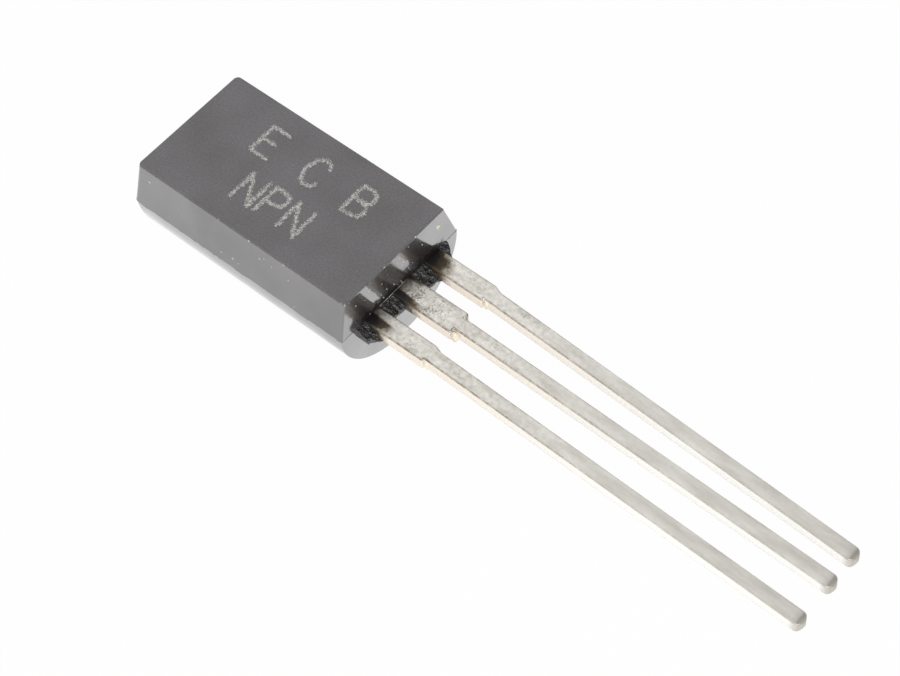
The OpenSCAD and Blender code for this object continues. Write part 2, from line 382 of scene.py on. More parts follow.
bump = add(tree, "ShaderNodeBump", {"Height": grain, "Strength": 0.03, "Distance": 0.02 * MM})
skin = add(tree, "ShaderNodeBsdfPrincipled", {
    "Base Color": colour, "Roughness": smear_and_shade_roughness, "IOR": mirror, "Normal": bump,
    "Coat Weight": covered, "Coat Roughness": satin, "Coat IOR": mirror,
})
add(tree, "ShaderNodeOutputMaterial", {"Surface": skin})
print("epoxy:", len(tree.nodes), "nodes")

# %% [markdown]
# ## Body
# The body has two shells. The front half is a stack of outlines that draw in with the draft of
# the mould, and its top edge closes on a small radius. The back half is a half-round profile
# repeated along the length, with a rounded rim at the top end. Bevelled boxes could be cut to this
# shape, but both halves follow simple rules, so the mesh is written point by point. The extra
# loops keep flat faces flat when they are shaded smooth.

# %% Front half
PART_STEP = 0.03
SIDE_DRAFT = math.radians(14.7)
END_DRAFT = math.radians(2.7)
CORNER_R = 0.1
TOP_CORNER_R = 1.5 * CORNER_R
LEAD_CORNER_R = 0.06
EDGE_R = 0.05
HOLD = 0.02
BLEND = 0.1
LEDGE = 0.01
FOOT_LEDGE = 0.004    # the foot of the wall flares out a little
MARK_H = 0.006    # room for the laser mark inside the CAD box

face_z = front_z - MARK_H
front_depth = face_z - part_z


def rounded_outline(x0, x1, half, r_top, r_lead, steps=6):
    corners = [
        (x1 - r_lead, half - r_lead, r_lead, 0), (x0 + r_top, half - r_top, r_top, 90),
        (x0 + r_top, -half + r_top, r_top, 180), (x1 - r_lead, -half + r_lead, r_lead, 270),
    ]
    points = []
    for cx, cy, r, start in corners:
        for i in range(steps + 1):
            a = math.radians(start + 90 * i / steps)
            points.append((cx + r * math.cos(a), cy + r * math.sin(a)))
    return points


def edge_draw(z):
    rise = min(max(z - face_z + EDGE_R, 0), EDGE_R)
    return EDGE_R - math.sqrt(EDGE_R ** 2 - rise ** 2)


def front_outline(z, inset=0.0, step=LEDGE):
    rise = z - part_z
    lean = (PART_STEP - LEDGE) * rise / front_depth
    draw = inset + edge_draw(z)
    end_draw = rise * math.tan(END_DRAFT) + draw
    half = back_r - step - lean - rise * math.tan(SIDE_DRAFT) - draw
    x0 = top_x + step + lean + end_draw
    x1 = lead_end_x - end_draw
    return [(x, y, z) for x, y in rounded_outline(x0, x1, half, TOP_CORNER_R, LEAD_CORNER_R)]


def bridge(bm, lower, upper):
    count = len(lower)
    for i in range(count):
        j = (i + 1) % count
        bm.faces.new((lower[i], lower[j], upper[j], upper[i]))


def add_ring(bm, points):
    return [bm.verts.new(Vector(p) * MM) for p in points]


body_bm = bmesh.new()
heights = [part_z + BLEND, face_z - EDGE_R - HOLD]
heights += [face_z - EDGE_R * (1 - math.sin(math.radians(22.5 * i))) for i in range(5)]
rings = [add_ring(body_bm, front_outline(part_z, step=FOOT_LEDGE))]
rings += [add_ring(body_bm, front_outline(z)) for z in heights]
rings.append(add_ring(body_bm, front_outline(face_z, HOLD)))
for lower, upper in zip(rings, rings[1:]):
    bridge(body_bm, lower, upper)
body_bm.faces.new(rings[-1])
body_bm.faces.new(list(reversed(rings[0])))
print("front half:", len(body_bm.faces), "faces")

# %% Back half
RIM_STEPS = 6
PROFILE_STEPS = 48
LEAD_RIM_R = 0.03
TOP_RIM_R = 0.2

flat_angle = math.acos(part_z / back_r)


def back_profile():
    points = []
    for i in range(PROFILE_STEPS + 1):
        a = -math.pi / 2 + math.pi * i / PROFILE_STEPS
        if abs(a) > flat_angle:
            points.append((back_r * math.sin(a), -back_r * math.cos(a)))
        elif points[-1][0] < -back_r * math.sin(flat_angle) - 1e-6:
            points.append((-back_r * math.sin(flat_angle), -part_z))
            points.append((back_r * math.sin(flat_angle), -part_z))
    return points


def back_stations():
    stations = []
    for i in range(RIM_STEPS, -1, -1):
        a = math.pi / 2 * i / RIM_STEPS
        stations.append((top_x + TOP_RIM_R * (1 - math.sin(a)), back_r - TOP_RIM_R * (1 - math.cos(a))))
    for i in range(RIM_STEPS + 1):
        a = math.pi / 2 * i / RIM_STEPS
        stations.append((lead_end_x - LEAD_RIM_R * (1 - math.sin(a)),
                         back_r - LEAD_RIM_R * (1 - math.cos(a))))
    return stations


def drafted(x, y, z):
    along = (x - top_x) / BODY_LEN
    return (x + (part_z - z) * math.tan(END_DRAFT) * (1 - 2 * along), y, z)


profile = back_profile()
rows = []
for x, radius in back_stations():
    size = radius / back_r
    rows.append(add_ring(body_bm, [drafted(x, y * size, part_z + z * size) for y, z in profile]))
for near, far in zip(rows, rows[1:]):
    for i in range(len(profile) - 1):
        body_bm.faces.new((near[i], near[i + 1], far[i + 1], far[i]))
body_bm.faces.new(list(reversed(rows[0])))
body_bm.faces.new(rows[-1])
body_bm.faces.new([row[0] for row in rows] + [row[-1] for row in reversed(rows)])
bmesh.ops.recalc_face_normals(body_bm, faces=body_bm.faces)
print("both halves:", len(body_bm.faces), "faces")

# %% Mark the flat face and the glossy faces, and make the piece
# The material reads two numbers from each face: how much it is flat face, and how much it is lead
# end. On the rounded edges of the lead end the second one fades in as the face turns.
BODY_SHARP = math.radians(32)

flat_layer = body_bm.faces.layers.float.new("flat")
end_layer = body_bm.faces.layers.float.new("end")
for face in body_bm.faces:
    z = face.calc_center_median().z / MM
    face[flat_layer] = 1.0 if z > face_z - EDGE_R and face.normal.z > 0.45 else 0.0
    face[end_layer] = BACK_GLOSS if z < part_z else min(max((face.normal.x - 0.6) / 0.35, 0), 1)

mesh = bpy.data.meshes.new("moulded_body")
body_bm.to_mesh(mesh)
body_bm.free()
mesh.shade_smooth()
mesh.set_sharp_from_angle(angle=BODY_SHARP)
body = new_piece("epoxy_body", mesh, epoxy)
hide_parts("moulded_body")
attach(body, "root")
print("body:", len(mesh.polygons), "faces")

# %% [markdown]
# ## Resin flash
# Resin leaked between the lead roots until the dam bar stopped it. When the bar was cut away the
# resin broke, so the flash has a ragged outer edge and sharp facets. A box with a rough material
# would keep straight edges, so each chunk is a small grid whose outer edge and top follow a noise,
# shaded flat.

# %% Flash material
# Freshly broken resin is black and glassy, so the eye sees dark facets with small bright glints.
CRUMB = 0.08

resin, tree = new_material("broken epoxy flash")
crumb = add(tree, "ShaderNodeTexNoise", {"Vector": object_mm(tree), "Scale": 1 / CRUMB, "Detail": 3})
tone = add(tree, "ShaderNodeMix", {0: crumb, 6: srgb("#0b0909"), 7: srgb("#1d1817")},
           data_type="RGBA").outputs[2]
bump = add(tree, "ShaderNodeBump", {"Height": crumb, "Strength": 0.9, "Distance": 0.06 * MM})
gloss = add(tree, "ShaderNodeMapRange", {0: crumb, 1: 0.35, 2: 0.65, 3: 0.03, 4: 0.2})
skin = add(tree, "ShaderNodeBsdfPrincipled", {
    "Base Color": tone, "Roughness": gloss, "IOR": 1.75, "Normal": bump,
})
add(tree, "ShaderNodeOutputMaterial", {"Surface": skin})
print("flash facets of about", CRUMB, "mm")

# %% One chunk of flash
FLASH_REACH = 0.66
FLASH_SINK = 0.02
FLASH_EDGE = 0.06
FLASH_ROOT = 0.2
FLASH_JAG = 0.07
FLASH_BULGE = 0.04


def flash_chunk(bm, y0, y1, reaches, seed):
    across, out = 12, 10
    grid = {}
    for deck in (0, 1):
        for i in range(across + 1):
            s = i / across
            y = y0 + (y1 - y0) * s
            step = s * (len(reaches) - 1)
            k = min(int(step), len(reaches) - 2)
            reach = FLASH_REACH * (reaches[k] + (reaches[k + 1] - reaches[k]) * (step - k))
            for j in range(out + 1):
                t = j / out
                jag = noise.noise(Vector((y * 9, t * 3, seed + deck * 5)))
                x = lead_end_x - FLASH_ROOT + (reach + FLASH_ROOT) * t + FLASH_JAG * jag * t
                bulge = noise.noise(Vector((x * 7, y * 7, seed)))
                fall = (lead_t - FLASH_EDGE) * max(x - lead_end_x, 0) / FLASH_REACH
                top = part_z - FLASH_SINK - min(fall, lead_t - FLASH_EDGE) + FLASH_BULGE * bulge * t
                z = top if deck else part_z - lead_t + FLASH_SINK
                grid[deck, i, j] = bm.verts.new(Vector((x, y + FRAME_SHIFT, z)) * MM)
    for i in range(across):
        for j in range(out):
            for deck in (0, 1):
                bm.faces.new([grid[deck, a, b] for a, b in ((i, j), (i + 1, j), (i + 1, j + 1), (i, j + 1))])
    for i in range(across):
        for j in (0, out):
            bm.faces.new((grid[0, i, j], grid[0, i + 1, j], grid[1, i + 1, j], grid[1, i, j]))
    for j in range(out):
        for i in (0, across):
            bm.faces.new((grid[0, i, j], grid[0, i, j + 1], grid[1, i, j + 1], grid[1, i, j]))


print("a chunk reaches", FLASH_REACH, "mm at most")

# %% Flash between and beside the roots
LEAD_PITCH = 1.27
OUTER_ROOT_W = 0.63
CENTRE_ROOT_W = 0.8
FLASH_SIDE = 0.33

root_out = LEAD_PITCH + OUTER_ROOT_W / 2
root_in = LEAD_PITCH - OUTER_ROOT_W / 2
flash_bm = bmesh.new()
flash_chunk(flash_bm, -root_out - FLASH_SIDE, -root_out, (0.6, 0.75, 1), 1)
flash_chunk(flash_bm, -root_in, -CENTRE_ROOT_W / 2, (0.68, 0.65, 0.65, 0.68), 11)
flash_chunk(flash_bm, CENTRE_ROOT_W / 2, root_in, (0.72, 0.8, 0.8, 0.9), 21)
flash_chunk(flash_bm, root_out, root_out + FLASH_SIDE, (1, 0.45, 0.12), 31)
bmesh.ops.triangulate(flash_bm, faces=flash_bm.faces)
bmesh.ops.recalc_face_normals(flash_bm, faces=flash_bm.faces)
mesh = bpy.data.meshes.new("root_flash")
flash_bm.to_mesh(mesh)
flash_bm.free()
flash = new_piece("root_flash", mesh, resin)
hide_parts("moulded_body")
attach(flash, "root")
print("flash:", len(mesh.polygons), "faces in four chunks")

# %% [markdown]
# ## Tin plate
# The leads were stamped from copper alloy strip and dipped in tin, which leaves a pale satin metal.
# Near the body the plate is pitted and grey, most of all on the middle lead, and resin and flux
# stain the roots brown and black. Each lead could have its own material, but they left one bath
# together, so one material places pits and stain by the distance from the body.

# %% Tin plate material: pits
# Dull tin scatters light almost like pale paint, so the tops look light grey with long soft
# streaks. The sheared sides are brighter, nearly cream white. The pits on the real part are near
# 0.03 mm, so they are drawn a little coarser.
PIT = 0.06
PIT_PATCH = 0.4

tin, tree = new_material("dipped tin on stamped copper alloy")
in_mm = object_mm(tree, (lead_end_x, FRAME_SHIFT, part_z))
axes = add(tree, "ShaderNodeSeparateXYZ", {0: in_mm}).outputs
zone = add(tree, "ShaderNodeAttribute", attribute_name="zone").outputs["Fac"]
pit = add(tree, "ShaderNodeTexNoise", {"Vector": in_mm, "Scale": 1 / PIT, "Detail": 3, "Roughness": 0.6})
group = add(tree, "ShaderNodeTexNoise", {"Vector": in_mm, "Scale": 1 / PIT_PATCH, "Detail": 2})
near = add(tree, "ShaderNodeMapRange", {0: axes["X"], 1: 2.6, 2: 0.3})
rest = add(tree, "ShaderNodeMapRange", {0: axes["X"], 1: 2.0, 2: 8.0, 3: 0.0, 4: -0.16})
patchy = add(tree, "ShaderNodeMath", {0: group, 1: 0.6, 2: rest}, operation="MULTIPLY_ADD")
off = add(tree, "ShaderNodeMath", {0: axes["Y"]}, operation="ABSOLUTE")
middle = add(tree, "ShaderNodeMapRange", {0: off, 1: 0.5, 2: 0.9, 3: 0.16, 4: 0.0})
dense = add(tree, "ShaderNodeMath", {0: near, 1: middle, 2: patchy}, operation="MULTIPLY_ADD")
under = add(tree, "ShaderNodeMath", {0: dense, 1: pit}, operation="SUBTRACT")
pits = add(tree, "ShaderNodeMapRange", {0: under, 1: -0.1, 2: 0.16})
print("tin plate with pits of", PIT, "mm")

# %% Tin plate material: streaks, cut sides and tips
STREAK = 0.25
DIMPLE = 0.14

along = add(tree, "ShaderNodeMapping", {"Vector": in_mm, "Scale": (0.22, 1, 1)})
drift = add(tree, "ShaderNodeTexNoise", {"Vector": along, "Scale": 1 / STREAK, "Detail": 4})
dimple = add(tree, "ShaderNodeTexNoise", {"Vector": in_mm, "Scale": 1 / DIMPLE, "Detail": 2})
smooth = add(tree, "ShaderNodeMapRange", {0: axes["X"], 1: 3.0, 2: 9.0, 3: 0.5, 4: 0.15})
blend = add(tree, "ShaderNodeMix", {0: smooth, 2: drift, 3: dimple})
lowest = add(tree, "ShaderNodeMapRange", {0: axes["X"], 1: 4.0, 2: 8.0, 3: 0.37, 4: 0.22})
highest = add(tree, "ShaderNodeMapRange", {0: axes["X"], 1: 4.0, 2: 8.0, 3: 0.63, 4: 0.78})
cloud = add(tree, "ShaderNodeMapRange", {0: blend, 1: lowest, 2: highest})
plate = add(tree, "ShaderNodeMix", {0: cloud, 6: srgb("#d2cec5"), 7: srgb("#fbf8f1")},
            data_type="RGBA").outputs[2]
pitted = add(tree, "ShaderNodeMix", {0: pits, 6: plate, 7: srgb("#8f8b82")}, data_type="RGBA").outputs[2]
far = add(tree, "ShaderNodeMapRange", {0: axes["X"], 1: 2.0, 2: 9.0})
side = add(tree, "ShaderNodeMix", {0: far, 6: srgb("#f6ebdc"), 7: srgb("#fffdf8")},
           data_type="RGBA").outputs[2]
cut_side = add(tree, "ShaderNodeMapRange", {0: zone, 1: 0.6, 2: 0.9})
sheared = add(tree, "ShaderNodeMix", {0: cut_side, 6: pitted, 7: side}, data_type="RGBA").outputs[2]
at_tip = add(tree, "ShaderNodeMapRange", {0: axes["X"], 1: 14.4, 2: 14.68})
tipped = add(tree, "ShaderNodeMix", {0: at_tip, 6: sheared, 7: srgb("#b4b0a7")}, data_type="RGBA").outputs[2]
print("streaks of", STREAK, "mm and dimples of", DIMPLE, "mm")

# %% Tin plate material: resin stain
# Black resin creeps over the roots, browner where it thins out, and hides the metal. How far it
# reaches changes from side to side, so the reach is a curve over the width of the row of leads.
STAIN = 0.2
ROW_HALF_W = 2.0
STAIN_REACH = [
    (-1.62, 0.72), (-1.56, 0.5), (-1.48, 0.68), (-1.26, 0.62), (-1.18, 0.0), (-1.0, 0.0), (-0.97, 0.55),
    (-0.7, 0.55), (-0.44, 0.65), (-0.36, 0.8), (-0.22, 0.75), (-0.14, 0.0), (0.24, 0.0), (0.32, 0.35),
    (0.44, 0.5), (0.7, 0.6), (0.9, 0.65), (1.1, 0.65), (1.35, 0.62), (1.48, 0.4), (1.6, 0.3),
]

stain = add(tree, "ShaderNodeTexNoise", {"Vector": in_mm, "Scale": 1 / STAIN, "Detail": 5, "Roughness": 0.7})
across = add(tree, "ShaderNodeMapRange", {0: axes["Y"], 1: -ROW_HALF_W, 2: ROW_HALF_W})
reach = add(tree, "ShaderNodeValToRGB", {0: across})
set_stops(reach, [((y + ROW_HALF_W) / (2 * ROW_HALF_W), length) for y, length in STAIN_REACH])
border = add(tree, "ShaderNodeMath", {0: stain, 1: 0.7, 2: reach}, operation="MULTIPLY_ADD")
over = add(tree, "ShaderNodeMath", {0: border, 1: axes["X"]}, operation="SUBTRACT")
brown = add(tree, "ShaderNodeMapRange", {0: over, 1: 0.05, 2: 0.45})
black = add(tree, "ShaderNodeMapRange", {0: over, 1: 0.35, 2: 0.72})
clean = add(tree, "ShaderNodeMath", {0: 1.0, 1: black}, operation="SUBTRACT")
stained = add(tree, "ShaderNodeMix", {0: brown, 6: tipped, 7: srgb("#5f513c")}, data_type="RGBA").outputs[2]
inked = add(tree, "ShaderNodeMix", {0: black, 6: stained, 7: srgb("#120f0e")}, data_type="RGBA").outputs[2]
print("resin stain on the roots in", len(STAIN_REACH), "steps")

# %% Tin plate material: worn edge and metal
# Along the edges the plate is worn to a thin brown line. Stain and cut tips are less metallic.
on_edge = add(tree, "ShaderNodeMath", {0: zone, 1: 0.5, 2: 0.1}, operation="COMPARE")
worn = add(tree, "ShaderNodeMapRange", {0: stain, 1: 0.4, 2: 0.6, 3: 0.2, 4: 0.7})
fading = add(tree, "ShaderNodeMapRange", {0: axes["X"], 1: 9.0, 2: 2.5, 3: 0.25, 4: 1.0})
line = add(tree, "ShaderNodeMath", {0: on_edge, 1: worn}, operation="MULTIPLY")
line = add(tree, "ShaderNodeMath", {0: line, 1: fading}, operation="MULTIPLY")
line = add(tree, "ShaderNodeMath", {0: line, 1: clean}, operation="MULTIPLY")
colour = add(tree, "ShaderNodeMix", {0: line, 6: inked, 7: srgb("#85725f")}, data_type="RGBA").outputs[2]
torn = add(tree, "ShaderNodeMapRange", {0: cut_side, 3: 0.9, 4: 0.5})
dull = add(tree, "ShaderNodeMapRange", {0: at_tip, 3: 1.0, 4: 0.3})
metal = add(tree, "ShaderNodeMath", {0: torn, 1: clean}, operation="MULTIPLY")
metal = add(tree, "ShaderNodeMath", {0: metal, 1: dull}, operation="MULTIPLY")
rough = add(tree, "ShaderNodeMapRange", {0: pits, 3: 0.32, 4: 0.5})
bump = add(tree, "ShaderNodeBump", {"Height": pit, "Strength": 0.12, "Distance": 0.02 * MM})
skin = add(tree, "ShaderNodeBsdfPrincipled", {
    "Base Color": colour, "Metallic": metal, "Roughness": rough, "Normal": bump,
})
add(tree, "ShaderNodeOutputMaterial", {"Surface": skin})
print("tin plate:", len(tree.nodes), "nodes")

# %% [markdown]
# ## Leads
# A punch leaves square edges, and the tin bath rounds them off and gathers in a small dome at each
# cut tip. The leads could be drawn anew, but the CAD solids have the right outline. So a copy of
# each is merged and cleaned, its edges are bevelled, and its last fifth of a millimetre is drawn in
# along a quarter circle. Each face then notes whether it is top, edge or cut side.

# %% Leads with rounded edges and tips
LEAD_EDGE_R = 0.045
TIP_R = 0.2
TIP_CUTS = 6
TIP_TURN = 80      # degrees of the quarter circle that the cuts cover
TIP_FULL = 0.92    # where the dome stops short of a point
TIP_FLAT = 0.6     # the dome draws in less in height than in width
LEAD_SHARP = math.radians(40)
FLAT_WITHIN = math.radians(0.5)
CREASE = math.radians(8)


def round_tip(bm):
    tip = max(v.co.x for v in bm.verts)
    start = tip - TIP_R * MM
    for i in range(TIP_CUTS):
        cut = start + TIP_R * MM * math.sin(math.radians(TIP_TURN * i / TIP_CUTS))
        bmesh.ops.bisect_plane(bm, geom=bm.verts[:] + bm.edges[:] + bm.faces[:], plane_co=(cut, 0, 0),
                               plane_no=(1, 0, 0))
    ring = [v.co for v in bm.verts if v.co.x > start - 0.01 * MM]
    mid_y = (max(p.y for p in ring) + min(p.y for p in ring)) / 2
    half = max(p.y for p in ring) - mid_y
    mid_z = (part_z - lead_t / 2) * MM
    for point in ring:
        s = min(max((point.x - start) / (TIP_R * MM), 0), TIP_FULL)
        lost = TIP_R * MM * (1 - math.sqrt(1 - s * s))
        point.y = mid_y + (point.y - mid_y) * (1 - lost / half)
        point.z = mid_z + (point.z - mid_z) * (1 - TIP_FLAT * lost / (lead_t * MM / 2))


def rounded_copy(node, name):
    bm = bmesh.new()
    bm.from_mesh(frame["nodes"][node].data)
    bmesh.ops.remove_doubles(bm, verts=bm.verts, dist=1e-7)
    bmesh.ops.dissolve_limit(bm, angle_limit=FLAT_WITHIN, verts=bm.verts, edges=bm.edges)
    sharp = [e for e in bm.edges if len(e.link_faces) == 2 and e.calc_face_angle() > CREASE]
    bmesh.ops.bevel(bm, geom=sharp, offset=LEAD_EDGE_R * MM, offset_type="OFFSET", segments=3,
                    profile=0.5, affect="EDGES", clamp_overlap=True)
    round_tip(bm)
    bm.normal_update()
    layer = bm.faces.layers.float.new("zone")
    for face in bm.faces:
        tilt = abs(face.normal.z)
        face[layer] = 0.0 if tilt > 0.99 else 1.0 if tilt < 0.2 else 0.5
    mesh = bpy.data.meshes.new(name)
    bm.to_mesh(mesh)
    bm.free()
    mesh.shade_smooth()
    mesh.set_sharp_from_angle(angle=LEAD_SHARP)
    return mesh


for node in ("emitter_lead", "collector_lead", "base_lead"):
    mesh = rounded_copy(node, "tinned_" + node)
    lead = new_piece("tinned_" + node, mesh, tin)
    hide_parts(node)
    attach(lead, "root")
    print(node, len(mesh.polygons), "faces")

# %% [markdown]
# ## What is inside
# The chip, its solder and the bond wires are sealed in the epoxy, and the CAD solids are right as
# they are. They could stay plain, because nobody sees them, but a part that is cut open should
# still look right. So each gets its own finish from one recipe: two tones and two degrees of gloss,
# mixed by a fine noise.


# %% Finishes of the inner pieces
def grainy_finish(name, dark, pale, grain_mm, metallic, rough_low, rough_high):
    material, tree = new_material(name)
    grain = add(tree, "ShaderNodeTexNoise", {"Vector": object_mm(tree), "Scale": 1 / grain_mm, "Detail": 3})
    tone = add(tree, "ShaderNodeMix", {0: grain, 6: srgb(dark), 7: srgb(pale)}, data_type="RGBA").outputs[2]
    rough = add(tree, "ShaderNodeMapRange", {0: grain, 1: 0.3, 2: 0.7, 3: rough_low, 4: rough_high})
    skin = add(tree, "ShaderNodeBsdfPrincipled", {
        "Base Color": tone, "Metallic": metallic, "Roughness": rough,
    })
    add(tree, "ShaderNodeOutputMaterial", {"Surface": skin})
    return material


# Polished silicon gives the eye a dark mirror with a blue cast, solder a dull even grey, and drawn
# gold wire a warm, sharp shine.
silicon = grainy_finish("polished silicon", "#3c3f4a", "#565a66", 0.2, 0.6, 0.1, 0.2)
solder = grainy_finish("dull lead solder", "#85878a", "#a3a5a8", 0.1, 1.0, 0.4, 0.6)
gold = grainy_finish("drawn gold wire", "#c99a3c", "#e2b655", 0.05, 1.0, 0.15, 0.3)
for node, material in (("transistor_die", silicon), ("die_solder", solder),
                       ("emitter_bond_wire", gold), ("base_bond_wire", gold)):
    data = frame["nodes"][node].data
    data.materials.clear()
    data.materials.append(material)
print("four inner nodes have their finish")

# %% [markdown]
# ## Small things that repeat
# Dots, grains and beads repeat or follow a line, and placing each in Python would hide the rule
# behind them. Geometry Nodes state the rule once, with named sizes and a fixed seed. `grow` runs a
# tree on a carrier mesh and keeps only the plain mesh that comes out, so nothing stays live.


# %% Helpers for Geometry Nodes
def new_group(name, sockets):
    tree = bpy.data.node_groups.new(name, "GeometryNodeTree")
    tree.interface.new_socket("Geometry", in_out="INPUT", socket_type="NodeSocketGeometry")
    for label, kind in sockets:
        tree.interface.new_socket(label, in_out="INPUT", socket_type=kind)
    tree.interface.new_socket("Geometry", in_out="OUTPUT", socket_type="NodeSocketGeometry")
    return tree, add(tree, "NodeGroupInput").outputs


def grow(name, mesh, tree, values):
    carrier = new_piece(name + "_path", mesh)
    modifier = carrier.modifiers.new("growth", "NODES")
    modifier.node_group = tree
    for item in tree.interface.items_tree:
        if item.in_out == "INPUT" and item.name in values:
            modifier[item.identifier] = values[item.name]
    graph = bpy.context.evaluated_depsgraph_get()
    result = bpy.data.meshes.new_from_object(carrier.evaluated_get(graph))
    bpy.data.objects.remove(carrier)
    piece = new_piece(name, result)
    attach(piece, "root")
    print(name, len(result.polygons), "faces")


def path_mesh(name, lines):
    points, edges = [], []
    for line in lines:
        first = len(points)
        points += [Vector(p) * MM for p in line]
        edges += [(i, i + 1) for i in range(first, len(points) - 1)]
    mesh = bpy.data.meshes.new(name)
    mesh.from_pydata(points, edges, [])
    return mesh


print("helpers for growing detail along paths and surfaces")

# %% [markdown]
# ## Laser mark
# A laser writes on epoxy with a row of small burnt dots, a little ragged at the border. A text
# object would give clean printed letters. Here a tree walks along each stroke, strays a little to
# the side, and sets a low flake at each place. The letters name the leads and the kind of part.

# %% Tree: dots along a path
dots_tree, given = new_group("dots along a path", [
    ("Spacing", "NodeSocketFloat"), ("Stray", "NodeSocketFloat"), ("Dot radius", "NodeSocketFloat"),
    ("Dot height", "NodeSocketFloat"), ("Seed", "NodeSocketInt"), ("Material", "NodeSocketMaterial"),
])
tree = dots_tree
line = add(tree, "GeometryNodeMeshToCurve", {"Mesh": given["Geometry"]})
steps = add(tree, "GeometryNodeResampleCurve", {"Curve": line, "Length": given["Spacing"]}, mode="LENGTH")
turn = add(tree, "FunctionNodeRandomValue", {2: 0.0, 3: math.tau, "Seed": given["Seed"]},
           data_type="FLOAT").outputs[1]
shift = add(tree, "ShaderNodeMath", {0: given["Seed"], 1: 1.0}, operation="ADD")
away = add(tree, "FunctionNodeRandomValue", {2: 0.0, 3: given["Stray"], "Seed": shift},
           data_type="FLOAT").outputs[1]
cosine = add(tree, "ShaderNodeMath", {0: turn}, operation="COSINE")
sine = add(tree, "ShaderNodeMath", {0: turn}, operation="SINE")
dx = add(tree, "ShaderNodeMath", {0: cosine, 1: away}, operation="MULTIPLY")
dy = add(tree, "ShaderNodeMath", {0: sine, 1: away}, operation="MULTIPLY")
offset = add(tree, "ShaderNodeCombineXYZ", {0: dx, 1: dy})
moved = add(tree, "GeometryNodeSetPosition", {"Geometry": steps, "Offset": offset})
narrow = add(tree, "ShaderNodeMath", {0: given["Dot radius"], 1: 0.6}, operation="MULTIPLY")
flake = add(tree, "GeometryNodeMeshCone", {
    "Vertices": 6, "Radius Top": narrow, "Radius Bottom": given["Dot radius"], "Depth": given["Dot height"],
})
size = add(tree, "FunctionNodeRandomValue", {2: 0.5, 3: 1.3, "Seed": given["Seed"]},
           data_type="FLOAT").outputs[1]
placed = add(tree, "GeometryNodeInstanceOnPoints", {"Points": moved, "Instance": flake, "Scale": size})
solid = add(tree, "GeometryNodeRealizeInstances", {"Geometry": placed})
painted = add(tree, "GeometryNodeSetMaterial", {"Geometry": solid, "Material": given["Material"]})
add(tree, "NodeGroupOutput", {"Geometry": painted})
print("dots tree:", len(tree.nodes), "nodes")

# %% Laser mark: lead letters and the kind of transistor
ASH = 0.06
LETTER_W = 0.62
LETTER_H = 1.02
LETTER_PITCH = 0.87
LETTERS = {
    "N": [[(0, 0), (0, 1), (1, 0), (1, 1)]],
    "P": [[(0, 0), (0, 1), (0.6, 1), (0.88, 0.93), (1, 0.75), (0.88, 0.57), (0.6, 0.5), (0, 0.5)]],
    "E": [[(1, 1), (0, 1), (0, 0), (1, 0)], [(0, 0.52), (0.8, 0.52)]],
    "C": [[(1, 0.78), (0.84, 0.95), (0.5, 1), (0.17, 0.9), (0, 0.62), (0, 0.38), (0.17, 0.1), (0.5, 0),
           (0.84, 0.05), (1, 0.22)]],
    "B": [[(0, 0), (0, 1), (0.6, 1), (0.86, 0.93), (0.94, 0.76), (0.86, 0.59), (0.6, 0.53), (0, 0.53)],
          [(0.6, 0.53), (0.9, 0.44), (1, 0.27), (0.9, 0.08), (0.6, 0), (0, 0)]],
}

# Burnt resin turns to dry ash, so the eye sees a chalky pale grey that never shines.
burnt, tree = new_material("laser burnt epoxy")
ash = add(tree, "ShaderNodeTexNoise", {"Vector": object_mm(tree), "Scale": 1 / ASH, "Detail": 2})
spread = add(tree, "ShaderNodeMapRange", {0: ash, 1: 0.35, 2: 0.65})
tone = add(tree, "ShaderNodeMix", {0: spread, 6: srgb("#8d8b88"), 7: srgb("#cfcdc8")},
           data_type="RGBA").outputs[2]
skin = add(tree, "ShaderNodeBsdfPrincipled", {"Base Color": tone, "Roughness": 0.8})
add(tree, "ShaderNodeOutputMaterial", {"Surface": skin})


def write(text, x, y):
    z = face_z - 0.001
    return [
        [(x + i * LETTER_PITCH + u * LETTER_W, y + v * LETTER_H, z) for u, v in stroke]
        for i, letter in enumerate(text) for stroke in LETTERS.get(letter, [])
    ]


strokes = write("E C B", -9.15, 0.32) + write("NPN", -8.45, -1.25)
grow("laser_mark", path_mesh("strokes", strokes), dots_tree, {
    "Spacing": 0.004 * MM, "Stray": 0.085 * MM, "Dot radius": 0.019 * MM, "Dot height": 0.005 * MM,
    "Seed": 3, "Material": burnt,
})

# %% [markdown]
# ## Chips along the mould edges
# Where the part is pushed out of the mould, tiny chips break from the sharp edges and leave pale
# spots. Cutting them out of the body would cost many faces for a spot of a pixel. They are the same
# kind of flake as the laser's dots, only few and larger, so the same tree sets them along two lines.

# %% Chips along the flat face and the parting line
CHIP_MARGIN = 0.2

draw_in = (front_z - part_z) * math.tan(SIDE_DRAFT) + PART_STEP


def near_side_line(inset, z):
    y = -back_r + inset
    return [(top_x + CHIP_MARGIN, y, z), (lead_end_x - CHIP_MARGIN, y, z)]


chip_lines = [near_side_line(draw_in, face_z - 0.02), near_side_line(0.032, part_z + 0.03)]
grow("edge_chips", path_mesh("edges", chip_lines), dots_tree, {
    "Spacing": 1.3 * MM, "Stray": 0.012 * MM, "Dot radius": 0.015 * MM, "Dot height": 0.012 * MM,
    "Seed": 8, "Material": burnt,
})

# %% [markdown]
# ## Filler grains
# The resin is filled with ground silica, and a few coarse grains lie open at the surface as pale
# specks. Spots in the material would be flat when seen from the side, so small flattened spheres
# are scattered over copies of the side walls and of the flat face.

